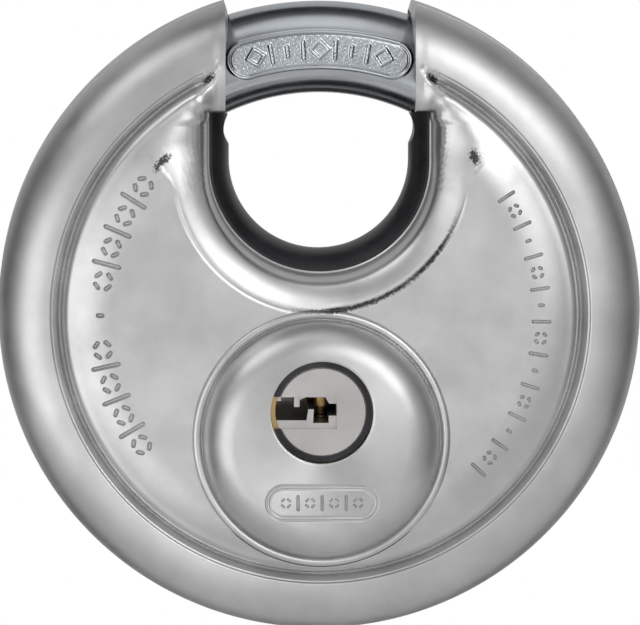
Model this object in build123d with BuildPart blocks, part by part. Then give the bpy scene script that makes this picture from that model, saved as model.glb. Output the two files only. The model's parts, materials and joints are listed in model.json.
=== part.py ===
from build123d import *

import math
import os

# Disc padlock.
#
# Two pressed stainless shells, welded together round the rim, hold a pin-tumbler cylinder. Turning the
# plug turns a gear behind it, and that gear drives a toothed sector on the round shackle, so that the
# shackle slides along the rim and leaves the throat open.
#
# Millimetres. +Z is up and the front of the lock faces -Y. The origin is on the centreline of the shackle
# bar, in the middle of its exposed span. The disc axis runs along Y below it. Clock angles are measured
# round the disc axis from the top, and grow towards +X.

# Case
disc_r = 35.0  # outer radius of the case
sheet = 1.2  # thickness of the pressed shells
rim_round_r = 5.0  # rounding of the rim bead, from its crest to the straight side of the case
rim_half = 10.0  # half thickness of the rim bead
step_r = 29.7  # the bead steps down from here
valley_r = 28.4  # to the groove round the face
valley_half = 8.9
face_r = 23.0  # the face is flat inside this radius
face_half = 11.6  # half thickness over the flat faces

# Shackle
ring_r = 28.5  # radius of the bar's centreline about the disc axis
bar_r = 5.0
cuff_r = 6.6  # outside of the tube that the case ends in
shackle_tip = -33.0  # clock angle of the tip
shackle_tail = 190.0  # clock angle of the tail
cut_x = 10.3  # half of the bar's exposed span
tip_chamfer = 0.8
cartouche_half = 16.6  # half of its angle
cartouche_w = 4.0
cartouche_depth = 0.4

# Throat
throat_up = 16.25  # centre of the throat's round bottom, above the disc axis
throat_r = 12.0
lip_width = 4.1  # the face rolls over into the throat across this width
lip_half = 4.5  # half of the gap between the two rolled edges
cuff_low = 21.85  # the cuffs end here, above the disc axis
liner_r = 9.8  # clear radius of the throat at the crown of the liner
notch_x = 7.6  # round notches in the liner's ends, that a hasp slips past
notch_up = 19.6
notch_r = 2.8
liner_play = 0.25  # between the liner's flange and the rolled edges
liner_flange_t = 0.95
liner_flange_over = 1.1  # the flange reaches this far behind each edge

# Cylinder boss on the front
boss_up = -13.2
boss_r = 13.0
boss_flat_r = 9.6
boss_half = 15.4  # distance of its top from the parting plane
boss_ring_r = 13.8
boss_ring_half = 12.1
boss_ring_fall = 0.5

# Cylinder
plug_up = -10.0
plug_r = 5.0
plug_hole_r = 5.55
running = 0.03  # radial clearance of the plug in its housing
face_y = -14.6  # plug face
body_y = -13.85  # front of the plug body and of the housing's collar
housing_y = -13.0
housing_r = 7.0
block_y = -9.4  # front of the pin block
rear_y = 4.2  # rear face of the housing and of the frame
block_w = 8.0
block_up = 1.3  # top of the pin block
slot_w = 8.0  # wide slot in the face, that the warded keyway lies behind
slot_h = 3.5
slot_middle = -0.1
slot_right = 1.63
slot_depth = 0.6
tail_side = 5.6  # square tail of the plug
tail_r = 2.0  # round end of the tail
tail_end = 0.9
pin_r = 0.95
pin_hole_r = 0.98
pin_y = [-8.2 + 2.5 * i for i in range(5)]
key_pin_lengths = [5.85, 5.0, 5.5, 4.7, 5.25]
driver_length = 2.6
spring_length = 2.9
spring_wire_r = 0.14
spring_turns = 5
cover_t = 0.8
cover_w = 3.2
cover_length = 12.0
key_low = -1.3  # bottom of the pin holes, from the plug's axis
plate_r = 9.3
plate_t = 1.05
guard_t = 0.5
clip_r = 4.2  # retaining ring on the tail
clip_t = 0.58
clip_gap = 2.4
drill_pin_r = 0.75
drill_pin_x = 2.6
drill_pin_up = 7.6  # above the plug's axis
drill_pin_length = 4.9

# Gear pair: the pinion turns inside the sector, so both turn the same way
module = 1.0
pinion_teeth = 21
ring_teeth = 41
gear_y = 4.4
gear_t = 2.4
backlash = 0.10
sector_from, sector_to = 118.0, 188.0
sector_out_r = 25.6
hook_in_r, hook_out_r = 24.3, 26.6  # the sector hooks over the bar's rear inner side
hook_y = 2.4
plug_turn = 112.0  # degrees of key turn from locked to open

# Frame
frame_r = 23.1
frame_front = -10.35
frame_lip_gap = 1.6
relief_r = 20.9  # the frame's rear steps back outside this radius, clear of the sector
relief_depth = 2.2
stud_at = [(15.5, 0.0), (13.8, -10.0)]
stud_r = 1.5
stud_head_r = 2.2
stud_head_t = 1.0
stud_seat = 5.5  # depth of the stud in the frame
screw_x = 9.2
screw_up = -3.0
screw_r = 1.0
screw_head_r = 1.8
screw_head_t = 1.2
screw_length = 11.0
screw_slot = 0.6
stop_pin_r = 0.7
stop_pin_orbit = 7.9
stop_angle = -30.0

disc_z = -ring_r
far = 60.0  # longer than anything here, for cutting


def front_view(y=0.0, up=0.0):
    """Plane parallel to the disc at depth y: local x is +X, local y is +Z, normal is -Y."""
    return Plane((0, y, disc_z + up), x_dir=(1, 0, 0), z_dir=(0, -1, 0))


def radial(clock=90.0, up=0.0):
    """Plane through a Y axis: local x points outwards at that clock angle, local y is +Y."""
    s, c = math.sin(math.radians(clock)), math.cos(math.radians(clock))
    return Plane((0, 0, disc_z + up), x_dir=(s, 0, c), z_dir=(-c, 0, s))


def y_axis(up=0.0):
    return Axis((0, 0, disc_z + up), (0, 1, 0))


def arc_slot(radius, start, size, width):
    """Slot bent along an arc about the sketch's origin."""
    with BuildSketch() as slot:
        SlotArc(CenterArc((0, 0), radius, start, size), width)
    return slot.sketch


def save(piece, name):
    piece.part.label = name
    export_step(piece.part, f"parts/{name}.step")


# ---------------------------------------------------------------- case


def case_section(inset):
    """Section of the front half from the axis to the rim, with its surface pulled in by inset."""
    top = 1.0  # carried past the parting plane, and trimmed there later
    crest = rim_half - inset
    crest_r = disc_r - rim_round_r
    round_r = rim_round_r - inset
    valley = (valley_r - inset / 4, inset - valley_half)
    face_edge = (face_r - inset / 4, inset - face_half)
    with BuildSketch() as section:
        with BuildLine():
            Polyline((0, top), (disc_r - inset, top), (disc_r - inset, rim_round_r - rim_half))
            CenterArc((crest_r, rim_round_r - rim_half), round_r, -90, 90)
            Polyline((crest_r, -crest), (step_r - inset / 4, -crest), valley)
            TangentArc(face_edge, valley, tangent=(1, 0))
            Polyline(face_edge, (0, inset - face_half), (0, top))
        make_face()
    return section.sketch


def boss_section(inset):
    """Section of the raised boss round the cylinder, about its own axis."""
    top = inset - boss_half
    foot = inset - boss_ring_half
    with BuildSketch() as section:
        with BuildLine():
            Polyline((0, -valley_half), (0, top), (boss_flat_r - inset / 4, top))
            TangentArc((boss_flat_r - inset / 4, top), (boss_r - inset, foot), tangent=(1, 0))
            Polyline(
                (boss_r - inset, foot),
                (boss_ring_r - boss_ring_fall - inset, foot),
                (boss_ring_r - inset, foot + boss_ring_fall),
                (boss_ring_r - inset, -valley_half),
                (0, -valley_half),
            )
        make_face()
    return section.sketch


def lip_section(inset):
    """Section of what the throat and its rolled lip take away, from the throat's axis outwards."""
    edge = throat_r + lip_width
    with BuildSketch() as section:
        with BuildLine():
            Line((throat_r + inset, 5), (throat_r + inset, -lip_half))
            EllipticalCenterArc(
                (edge, -lip_half),
                lip_width - inset,
                face_half - lip_half - inset,
                start_angle=180,
                arc_size=90,
            )
            Polyline((edge, inset - face_half), (edge, -20), (0, -20), (0, 5), (throat_r + inset, 5))
        make_face()
    return section.sketch


def cuff_section(inset):
    """Section of the front half of the tube that the shackle's ends run in."""
    with BuildSketch() as section:
        with Locations((ring_r, 0)):
            Circle(cuff_r - inset)
            Rectangle(20, 20, align=(Align.CENTER, Align.MAX), mode=Mode.INTERSECT)
        with Locations((ring_r, 1)):
            Rectangle(2 * (cuff_r - inset), 1, align=(Align.CENTER, Align.MAX))
    return section.sketch


def case_form(inset, with_boss):
    """Envelope of the front half of the case, with every surface pulled in by inset."""
    with BuildPart() as form:
        with BuildSketch(radial()):
            add(case_section(inset))
        revolve(axis=y_axis())
        if with_boss:
            with BuildSketch(radial(up=boss_up)):
                add(boss_section(inset))
            revolve(axis=y_axis(boss_up))
        with BuildSketch(radial(up=throat_up)):
            add(lip_section(inset))
        revolve(axis=y_axis(throat_up), revolution_arc=180, mode=Mode.SUBTRACT)
        with BuildSketch(Plane((0, 0, disc_z + throat_up))):
            add(lip_section(inset))
            mirror(lip_section(inset), about=Plane.YZ)
        extrude(amount=far, mode=Mode.SUBTRACT)
        for start in (14, -42):
            with BuildSketch(radial(start)):
                add(cuff_section(inset))
            revolve(axis=y_axis(), revolution_arc=28)
        with BuildSketch(front_view(10, throat_up)):
            Rectangle(2 * cut_x, far, align=(Align.CENTER, Align.MIN))
        extrude(amount=30, mode=Mode.SUBTRACT)
    return form.part


def throat_outline(grow, top):
    """The throat seen from the front, about the disc axis: a round bottom with straight sides."""
    with BuildSketch() as outline:
        with Locations((0, throat_up)):
            Circle(throat_r + grow)
        with Locations((0, (throat_up + top) / 2)):
            Rectangle(2 * (throat_r + grow), top - throat_up)
        with Locations((0, top)):
            Rectangle(far, far, align=(Align.CENTER, Align.MIN), mode=Mode.SUBTRACT)
    return outline.sketch


def shell(with_boss):
    """One pressed half of the case, the front one."""
    outside = case_form(0, with_boss)
    inside = case_form(sheet, with_boss)
    with BuildPart() as half:
        add(outside)
        add(inside, mode=Mode.SUBTRACT)
        split(bisect_by=Plane.XZ, keep=Keep.TOP)
        with BuildSketch(front_view(1)):
            add(throat_outline(sheet + 0.15, cuff_low))
        extrude(amount=1 + lip_half, mode=Mode.SUBTRACT)
        with BuildSketch(front_view()):
            add(throat_outline(0, cuff_low))
        extrude(amount=20, mode=Mode.SUBTRACT)
    return half.part


def front_shell():
    """Front half, with the hole for the plug."""
    half = shell(with_boss=True)
    with BuildPart() as piece:
        add(half)
        with BuildSketch(front_view(0, plug_up)):
            Circle(plug_hole_r)
        extrude(amount=20, mode=Mode.SUBTRACT)
    return piece


def rear_shell():
    """Rear half: the same pressing without the boss, turned over."""
    half = shell(with_boss=False)
    with BuildPart() as piece:
        add(half.mirror(Plane.XZ))
    return piece


def liner_section():
    """Section of the liner, from the throat's axis outwards, with a flange behind the rolled edges."""
    flat = throat_r - 0.3
    flange = throat_r + sheet + liner_play
    half = lip_half - 0.1
    with BuildSketch() as section:
        with BuildLine():
            ThreePointArc((flat, -half), (liner_r, 0), (flat, half))
            Polyline((flat, half), (throat_r + sheet, half), (throat_r + sheet, -half), (flat, -half))
        make_face()
        with Locations((throat_r + sheet, 0)):
            Rectangle(flange - throat_r - sheet, 2 * half, align=(Align.MIN, Align.CENTER))
        with Locations((flange, 0)):
            Rectangle(liner_flange_t, 2 * (half + liner_flange_over), align=(Align.MIN, Align.CENTER))
    return section.sketch


def throat_liner():
    """Crowned plastic liner, gripped between the two rolled edges by its flange."""
    section = liner_section()
    with BuildPart() as piece:
        with BuildSketch(radial(up=throat_up)):
            add(section)
        revolve(axis=y_axis(throat_up), revolution_arc=180)
        with BuildSketch(Plane((0, 0, disc_z + throat_up))):
            add(section)
            mirror(section, about=Plane.YZ)
        extrude(amount=cuff_low - throat_up)
        with BuildSketch(front_view(far / 2, notch_up)):
            with Locations((notch_x, 0), (-notch_x, 0)):
                Circle(notch_r)
        extrude(amount=far, mode=Mode.SUBTRACT)
        for start in (21.0, -49.0):
            with BuildSketch(radial(start)):
                with Locations((ring_r, 0)):
                    Circle(bar_r + 0.25)
            revolve(axis=y_axis(), revolution_arc=28, mode=Mode.SUBTRACT)
    return piece


def lock_frame():
    """Die-cast carrier that fills the case, guides the shackle and seats the cylinder."""
    with BuildPart() as piece:
        with BuildSketch(front_view(rear_y)):
            Circle(frame_r)
            with Locations((0, throat_up)):
                Circle(throat_r + lip_width + frame_lip_gap, mode=Mode.SUBTRACT)
            with Locations((0, throat_up)):
                Rectangle(far, far, align=(Align.CENTER, Align.MIN), mode=Mode.SUBTRACT)
            with Locations((0, plug_up)):
                Circle(housing_r + 0.05, mode=Mode.SUBTRACT)
            with Locations((0, plug_up)):
                Rectangle(block_w + 0.1, 40, align=(Align.CENTER, Align.MIN), mode=Mode.SUBTRACT)
        extrude(amount=rear_y - frame_front)
        with BuildSketch(front_view(rear_y)):
            Circle(far)
            Circle(relief_r, mode=Mode.SUBTRACT)
        extrude(amount=relief_depth, mode=Mode.SUBTRACT)
        for x, up in stud_at:
            with BuildSketch(front_view(rear_y, up)):
                with Locations((x, 0), (-x, 0)):
                    Circle(stud_r + 0.02)
            extrude(amount=stud_seat + 0.5, mode=Mode.SUBTRACT)
        with BuildSketch(front_view(rear_y, plug_up)):
            with PolarLocations(stop_pin_orbit, 1, start_angle=stop_angle):
                Circle(stop_pin_r)
        extrude(amount=4, mode=Mode.SUBTRACT)
        with BuildSketch(front_view(rear_y, screw_up)):
            with Locations((screw_x, 0), (-screw_x, 0)):
                Circle(screw_head_r + 0.1)
        extrude(amount=screw_head_t + 0.1, mode=Mode.SUBTRACT)
        with BuildSketch(front_view(rear_y, screw_up)):
            with Locations((screw_x, 0), (-screw_x, 0)):
                Circle(screw_r + 0.03)
        extrude(amount=screw_length + screw_head_t + 0.3, mode=Mode.SUBTRACT)
    return piece


def frame_stud(x, up):
    """Shouldered stud between the frame and the rear shell."""
    rear = face_half - sheet - 0.02
    with BuildPart() as piece:
        with BuildSketch(front_view(rear, up)):
            with Locations((x, 0)):
                Circle(stud_r)
        extrude(amount=rear - rear_y + stud_seat)
        with BuildSketch(front_view(rear, up)):
            with Locations((x, 0)):
                Circle(stud_head_r)
        extrude(amount=stud_head_t)
    return piece


def stop_pin():
    """Dowel in the frame that ends the gear's turn at both ends of its slot."""
    with BuildPart() as piece:
        with BuildSketch(front_view(gear_y + gear_t - 0.3, plug_up)):
            with PolarLocations(stop_pin_orbit, 1, start_angle=stop_angle):
                Circle(stop_pin_r)
        extrude(amount=gear_y + gear_t - 0.3 - rear_y + 3.9)
    return piece


# ---------------------------------------------------------------- shackle


def shackle():
    """Round bar bent to the rim, with a shallow cartouche on the front of its exposed span."""
    with BuildPart() as piece:
        with BuildSketch(radial(shackle_tip)):
            with Locations((ring_r, 0)):
                Circle(bar_r)
        revolve(axis=y_axis(), revolution_arc=shackle_tail - shackle_tip)
        ends = piece.faces().filter_by(GeomType.PLANE)
        chamfer(ends.edges(), length=tip_chamfer)
        with BuildSketch(front_view(-bar_r - 1)):
            add(arc_slot(ring_r, 90 - cartouche_half, 2 * cartouche_half, cartouche_w))
        extrude(amount=-1 - cartouche_depth, mode=Mode.SUBTRACT)
    return piece


def involute_points(base_r, tip_r, phase, flip, count=5):
    """Points up one flank of a tooth, from the base circle to the tip."""
    points = []
    last = math.sqrt((tip_r / base_r) ** 2 - 1)
    for i in range(count):
        roll = last * i / (count - 1)
        radius = base_r * math.sqrt(1 + roll * roll)
        angle = phase + flip * (roll - math.atan(roll))
        points.append((radius * math.cos(angle), radius * math.sin(angle)))
    return points


def tooth_outline(teeth, tip_r, root_r, thin):
    """One involute tooth, along +X."""
    pitch_r = module * teeth / 2
    base_r = pitch_r * math.cos(math.radians(20))
    spread = math.tan(math.radians(20)) - math.radians(20)
    half = math.pi / teeth / 2 + spread - thin / pitch_r / 2
    foot = 0.98 * root_r
    right_foot = (foot * math.cos(half), -foot * math.sin(half))
    left_foot = (foot * math.cos(half), foot * math.sin(half))
    with BuildSketch() as tooth:
        with BuildLine():
            right = Spline(*involute_points(base_r, tip_r, -half, 1))
            left = Spline(*involute_points(base_r, tip_r, half, -1))
            RadiusArc(right @ 1, left @ 1, -tip_r)
            Polyline(right @ 0, right_foot, left_foot, left @ 0)
        make_face()
    return tooth.sketch


def gear_outline(teeth, tip_r, root_r, thin):
    """Spur gear with one tooth pointing down; thin is taken off the teeth at the pitch line."""
    tooth = tooth_outline(teeth, tip_r, root_r, thin)
    with BuildSketch() as outline:
        Circle(root_r)
        with PolarLocations(0, teeth, start_angle=-90):
            add(tooth)
    return outline.sketch


def toothed_sector():
    """Internal gear sector, carried by the inside of the bar."""
    pitch_r = module * ring_teeth / 2
    with BuildPart() as piece:
        with BuildSketch(radial(sector_from)):
            with BuildLine():
                Polyline(
                    (pitch_r - module, gear_y),
                    (pitch_r - module, gear_y + gear_t),
                    (sector_out_r, gear_y + gear_t),
                    (sector_out_r, gear_y + 0.6),
                    (hook_out_r, gear_y + 0.3),
                    (hook_out_r, hook_y),
                    (hook_in_r, hook_y),
                    (hook_in_r, gear_y),
                    (pitch_r - module, gear_y),
                )
            make_face()
        revolve(axis=y_axis(), revolution_arc=sector_to - sector_from)
        with BuildSketch(radial(sector_from - 1)):
            with Locations((ring_r, 0)):
                Circle(bar_r)
        revolve(axis=y_axis(), revolution_arc=sector_to - sector_from + 2, mode=Mode.SUBTRACT)
        with BuildSketch(front_view(gear_y + gear_t)):
            add(gear_outline(ring_teeth, pitch_r + 1.2 * module, pitch_r - 1.0 * module, -backlash))
        extrude(amount=gear_t, mode=Mode.SUBTRACT)
    return piece


def drive_gear():
    """Pinion on the square tail of the plug, with the arc slot that the stop pin runs in."""
    pitch_r = module * pinion_teeth / 2
    with BuildPart() as piece:
        with BuildSketch(front_view(gear_y + gear_t, plug_up)):
            add(gear_outline(pinion_teeth, pitch_r + 0.9 * module, pitch_r - 1.2 * module, backlash))
            Rectangle(tail_side + 0.06, tail_side + 0.06, mode=Mode.SUBTRACT)
            add(arc_slot(stop_pin_orbit, stop_angle - 1, plug_turn + 2, 1.6), mode=Mode.SUBTRACT)
        extrude(amount=gear_t)
    return piece


# ---------------------------------------------------------------- cylinder


def keyway_outline():
    """Warded key slot, open on the left of the plug, about the plug's axis."""
    with BuildSketch() as outline:
        with BuildLine():
            Polyline(
                (-6.5, 1.15),
                (-4.4, 1.15),
                (-4.4, 1.55),
                (-3.0, 1.55),
                (-3.0, 0.5),
                (-2.4, 0.5),
                (-2.4, 1.3),
                (-1.7, 1.55),
                (0.4, 1.55),
                (0.8, 0.85),
                (1.6, 0.85),
                (1.6, -0.45),
                (0.75, -0.45),
                (0.75, -1.25),
                (-0.95, -1.25),
                (-0.85, 0.25),
                (-1.45, 0.25),
                (-1.65, -0.95),
                (-6.5, -0.95),
                (-6.5, 1.15),
            )
        make_face()
    return outline.sketch


def plug():
    """Turning plug: nickelled face, warded keyway, five pin holes and a square tail for the gear."""
    with BuildPart() as piece:
        with BuildSketch(front_view(body_y, plug_up)):
            Circle(plug_r - 0.15)
        extrude(amount=body_y - face_y)
        face = piece.faces().filter_by(Axis.Y).sort_by(Axis.Y)[0]
        chamfer(face.edges(), length=0.15)
        with BuildSketch(front_view(gear_y, plug_up)):
            Circle(plug_r)
        extrude(amount=gear_y - body_y)
        with BuildSketch(front_view(gear_y + gear_t, plug_up)):
            Rectangle(tail_side, tail_side)
        extrude(amount=gear_t)
        with BuildSketch(front_view(gear_y + gear_t + tail_end, plug_up)):
            Circle(tail_r)
        extrude(amount=tail_end)
        with BuildSketch(front_view(rear_y, plug_up)):
            add(keyway_outline())
        extrude(amount=20, mode=Mode.SUBTRACT)
        with BuildSketch(front_view(face_y + slot_depth, plug_up)):
            with Locations((slot_right, slot_middle)):
                Rectangle(slot_w, slot_h, align=(Align.MAX, Align.CENTER))
        extrude(amount=2, mode=Mode.SUBTRACT)
        with BuildSketch(Plane((0, 0, disc_z + plug_up + key_low))):
            with Locations(*[(0, y) for y in pin_y]):
                Circle(pin_hole_r)
        extrude(amount=2 * plug_r, mode=Mode.SUBTRACT)
    return piece


def guard_ring():
    """Blackened hardened ring round the plug's face, slotted with the keyway."""
    with BuildPart() as piece:
        with BuildSketch(front_view(body_y - 0.03, plug_up)):
            Circle(plug_hole_r - 0.1)
            Circle(plug_r - 0.13, mode=Mode.SUBTRACT)
            with Locations((0, slot_middle)):
                Rectangle(slot_w, slot_h, align=(Align.MAX, Align.CENTER), mode=Mode.SUBTRACT)
        extrude(amount=guard_t)
    return piece


def retaining_ring():
    """Open ring on the plug's tail that keeps the gear on."""
    with BuildPart() as piece:
        with BuildSketch(front_view(gear_y + gear_t + clip_t + 0.02, plug_up)):
            Circle(clip_r)
            Circle(tail_r + 0.02, mode=Mode.SUBTRACT)
            Rectangle(clip_gap, 2 * clip_r, align=(Align.CENTER, Align.MIN), mode=Mode.SUBTRACT)
        extrude(amount=clip_t)
    return piece


def cylinder_housing():
    """Brass housing: a round barrel with a collar in front and a pin block on top."""
    with BuildPart() as piece:
        with BuildSketch(front_view(rear_y, plug_up)):
            Circle(housing_r)
        extrude(amount=rear_y - housing_y)
        with BuildSketch(front_view(housing_y, plug_up)):
            Circle(plug_hole_r - 0.05)
        extrude(amount=housing_y - body_y - 0.02)
        with BuildSketch(front_view(rear_y, plug_up)):
            Rectangle(block_w, block_up - plug_up, align=(Align.CENTER, Align.MIN))
        extrude(amount=rear_y - block_y)
        with BuildSketch(front_view(rear_y, plug_up)):
            Circle(plug_r + running)
        extrude(amount=20, mode=Mode.SUBTRACT)
        with BuildSketch(Plane((0, 0, disc_z + plug_up))):
            with Locations(*[(0, y) for y in pin_y]):
                Circle(pin_hole_r)
        extrude(amount=far, mode=Mode.SUBTRACT)
        with BuildSketch(Plane((0, 0, disc_z + block_up))):
            with Locations((0, (pin_y[0] + pin_y[-1]) / 2)):
                Rectangle(cover_w, cover_length)
        extrude(amount=-cover_t, mode=Mode.SUBTRACT)
        with BuildSketch(front_view(block_y, plug_up + drill_pin_up)):
            with Locations((drill_pin_x, 0), (-drill_pin_x, 0)):
                Circle(drill_pin_r + 0.02)
        extrude(amount=-drill_pin_length - 0.2, mode=Mode.SUBTRACT)
    return piece


def chamber_cover():
    """Strip swaged over the pin chambers."""
    with BuildPart() as piece:
        with BuildSketch(Plane((0, 0, disc_z + block_up))):
            with Locations((0, (pin_y[0] + pin_y[-1]) / 2)):
                Rectangle(cover_w - 0.02, cover_length - 0.02)
        extrude(amount=-cover_t + 0.01)
    return piece


def key_pin(i):
    """Brass pin in the plug, with a cone on the end that meets the key."""
    top = disc_z + plug_up + plug_r - 0.02
    with BuildPart() as piece:
        with BuildSketch(Plane((0, pin_y[i], top))):
            Circle(pin_r)
        extrude(amount=-key_pin_lengths[i])
        tip = piece.faces().filter_by(Axis.Z).sort_by(Axis.Z)[0]
        chamfer(tip.edges(), length=0.9, length2=0.35)
    return piece


def driver_pin(i):
    """Steel driver above the shear line."""
    with BuildPart() as piece:
        with BuildSketch(Plane((0, pin_y[i], disc_z + plug_up + plug_r + 0.06))):
            Circle(pin_r)
        extrude(amount=driver_length - 0.06)
        chamfer(piece.edges(), length=0.12)
    return piece


def driver_spring(i):
    """Compression spring over the driver."""
    low = disc_z + plug_up + plug_r + driver_length + spring_wire_r + 0.01
    rise = spring_length - 2 * spring_wire_r - 0.03
    coil_r = pin_r - spring_wire_r - 0.05
    with BuildPart() as piece:
        with BuildLine():
            coil = Helix(pitch=rise / spring_turns, height=rise, radius=coil_r, center=(0, pin_y[i], low))
        with BuildSketch(Plane(origin=coil @ 0, z_dir=coil % 0)):
            Circle(spring_wire_r)
        sweep(path=coil)
    return piece


def drill_plate():
    """Hardened plate behind the boss, round the collar of the housing."""
    with BuildPart() as piece:
        with BuildSketch(front_view(housing_y - 0.03)):
            with Locations((0, boss_up)):
                Circle(plate_r)
            with Locations((0, plug_up)):
                Circle(plug_hole_r, mode=Mode.SUBTRACT)
        extrude(amount=plate_t)
    return piece


def drill_pin(side):
    """Hardened pin pressed into the front of the pin block, on one side of the chambers."""
    with BuildPart() as piece:
        with BuildSketch(front_view(block_y + drill_pin_length, plug_up + drill_pin_up)):
            with Locations((side * drill_pin_x, 0)):
                Circle(drill_pin_r)
        extrude(amount=drill_pin_length)
    return piece


def frame_screw(side):
    """Cheese-head screw that clamps the frame beside the cylinder, with a slotted head."""
    with BuildPart() as piece:
        with BuildSketch(front_view(rear_y - 0.05, screw_up)):
            with Locations((side * screw_x, 0)):
                Circle(screw_head_r)
        extrude(amount=screw_head_t)
        with BuildSketch(front_view(rear_y - 0.05 - screw_head_t, screw_up)):
            with Locations((side * screw_x, 0)):
                Circle(screw_r)
        extrude(amount=screw_length)
        with BuildSketch(front_view(rear_y, screw_up)):
            with Locations((side * screw_x, 0)):
                Rectangle(2 * screw_head_r, screw_slot)
        extrude(amount=screw_slot, mode=Mode.SUBTRACT)
    return piece


def main():
    os.makedirs("parts", exist_ok=True)
    save(front_shell(), "front_shell")
    save(rear_shell(), "rear_shell")
    save(throat_liner(), "throat_liner")
    save(lock_frame(), "lock_frame")
    save(stop_pin(), "stop_pin")
    save(shackle(), "shackle")
    save(toothed_sector(), "toothed_sector")
    save(drive_gear(), "drive_gear")
    save(plug(), "plug")
    save(guard_ring(), "guard_ring")
    save(retaining_ring(), "retaining_ring")
    save(cylinder_housing(), "cylinder_housing")
    save(chamber_cover(), "chamber_cover")
    save(drill_plate(), "drill_plate")
    for i, side in enumerate((-1, 1)):
        save(drill_pin(side), f"drill_pin_{i + 1}")
        save(frame_screw(side), f"frame_screw_{i + 1}")
        for j, (x, up) in enumerate(stud_at):
            save(frame_stud(side * x, up), f"frame_stud_{2 * i + j + 1}")
    for i in range(len(pin_y)):
        save(key_pin(i), f"key_pin_{i + 1}")
        save(driver_pin(i), f"driver_pin_{i + 1}")
        save(driver_spring(i), f"driver_spring_{i + 1}")


if __name__ == "__main__":
    main()
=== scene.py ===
"""Looks of the disc padlock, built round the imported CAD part.

Lengths in the modelling functions are millimetres. A plan point (x, z) is measured from the disc axis, and
a height is the distance of the surface from the parting plane. UP in a name is a place along Z, measured from
the disc axis.
"""

import json
import math

import bpy
import numpy as np
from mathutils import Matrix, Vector
from mathutils.geometry import delaunay_2d_cdt


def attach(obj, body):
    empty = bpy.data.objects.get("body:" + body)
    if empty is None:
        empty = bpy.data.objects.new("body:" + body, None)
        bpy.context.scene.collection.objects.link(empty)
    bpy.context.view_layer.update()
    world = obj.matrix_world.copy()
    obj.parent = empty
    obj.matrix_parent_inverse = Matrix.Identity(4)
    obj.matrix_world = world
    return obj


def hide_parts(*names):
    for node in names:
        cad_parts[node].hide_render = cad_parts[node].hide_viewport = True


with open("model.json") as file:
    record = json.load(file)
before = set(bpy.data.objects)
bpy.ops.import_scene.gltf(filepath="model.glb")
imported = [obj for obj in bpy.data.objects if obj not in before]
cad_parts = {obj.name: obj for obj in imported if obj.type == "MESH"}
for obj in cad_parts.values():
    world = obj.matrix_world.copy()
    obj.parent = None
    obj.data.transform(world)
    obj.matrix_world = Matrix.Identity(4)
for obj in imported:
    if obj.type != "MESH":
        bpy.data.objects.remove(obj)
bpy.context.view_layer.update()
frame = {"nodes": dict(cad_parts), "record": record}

# The case: its radii are from the disc axis, and FACE, VALLEY and CREST are heights above the parting plane
DISC_UP = -28.5  # the exception: the disc axis itself, in the row's frame
DISC_R = 35.0
SPLIT_R = 30.0  # the face is triangulated inside this radius, and the rim is a regular grid outside it
FACE = 11.6
FLAT_R = 22.6
SHOULDER_R = 26.9  # the face falls gently to here, and then steeply into the groove
SHOULDER_DROP = 0.8
VALLEY = 8.9
VALLEY_R = 28.25
STEP_R = 29.3
CREST = 10.0
CREST_R = 29.9
SHEET = 1.15

# The throat, its rolled lip, and the cuffs that the bar comes out of
THROAT_UP = 16.25
THROAT_R = 12.0
LIP_HALF = 4.5
LIP_WIDTH = 3.95
CUFF_X = 10.3
CUFF_LOW = 21.85
CUFF_INNER_R = 30.0  # inside this radius a cuff is rounded over the bar, as far as CUFF_ROUND
CUFF_ROUND = 7.1

# The boss, the engraved frame on it and the hole for the plug
BOSS_UP = -13.2
BOSS_TOP = 15.4
BOSS_R = 14.45
BOSS_FLAT_R = 9.2
BOSS_DOME_R = 12.9
DOME_WIDTH = 3.7
FRAME_UP = BOSS_UP - 6.6
FRAME_END = 4.12
FRAME_RISE = 1.88
PLUG_UP = -10.0
HOLE_R = 5.55
HOLE_POINTS = 120

# The shackle bar
RING_R = 28.5
BAR_R = 5.0
BAR_FLAT = 0.36  # the bar's front is flattened by this much
BAR_TIP = math.radians(-33)
BAR_TAIL = math.radians(190)
BAR_END = 0.8
WORKED_CLOCK = math.radians(21.5)  # the cartouche lies within this angle of the middle
WORKED_HALF = 2.6
CARTOUCHE_HALF = 10.2
CARTOUCHE_RISE = 2.1

# Where the face's points are close together: the groove, and a square grid beside each cut
GROOVE_R = 27.9
GRID_LOW = 13.6
GRID_HALF = 17.6
GRID_GROOVE_HALF = 12.9
GRID_PITCH = 0.24
RING_POINTS = 300
BOTTOM_COLUMN = 200  # a column of the rim's grid near the bottom of the case, to test which way it faces

CASE_DARK = (0.58, 0.58, 0.578)
CASE_LIGHT = (0.71, 0.71, 0.708)

# The floor, in metres and in the row's frame
FLOOR_Z = -0.30
FLOOR_Y = -0.20
FLOOR_SIZE = (1.2, 0.70)
FLOOR_PAINTED_LIGHT = 0.28

# Line of shade painted along the lip's fold crease, and the clock angle of its middle
FOLD_R = THROAT_R + 3.65
FOLD_CLOCK = math.radians(150)

# Patches of painted shade, standing for the shadows of dents and tool marks on the case: middle in the plan,
# angle, half length and half width
SHADE_PATCHES = [
    ((-12.1, 25.7), 47, 1.5, 0.6),
    ((12.1, 25.7), -47, 1.5, 0.6),
    ((-17.1, 16.9), 47, 2.3, 0.8),
    ((16.6, 17.3), -60, 1.5, 1.0),
]

# Studio lobes: off-axis angle, clock angle, outer and inner cosine, brightness; a negative one darkens
TENT_DIM = 0.035
TENT = [
    (0, 0, -0.45, 0.95, 0.53),
    (27, 46, 0.92, 0.995, 2.40),
    (38, 250, 0.82, 0.985, 1.15),
    (38, 322, 0.75, 0.98, -0.22),
    (40, 115, 0.72, 0.98, -0.15),
    (70, 322, 0.93, 0.985, 1.50),
    (72, 0, 0.92, 0.99, 0.50),
]

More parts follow.
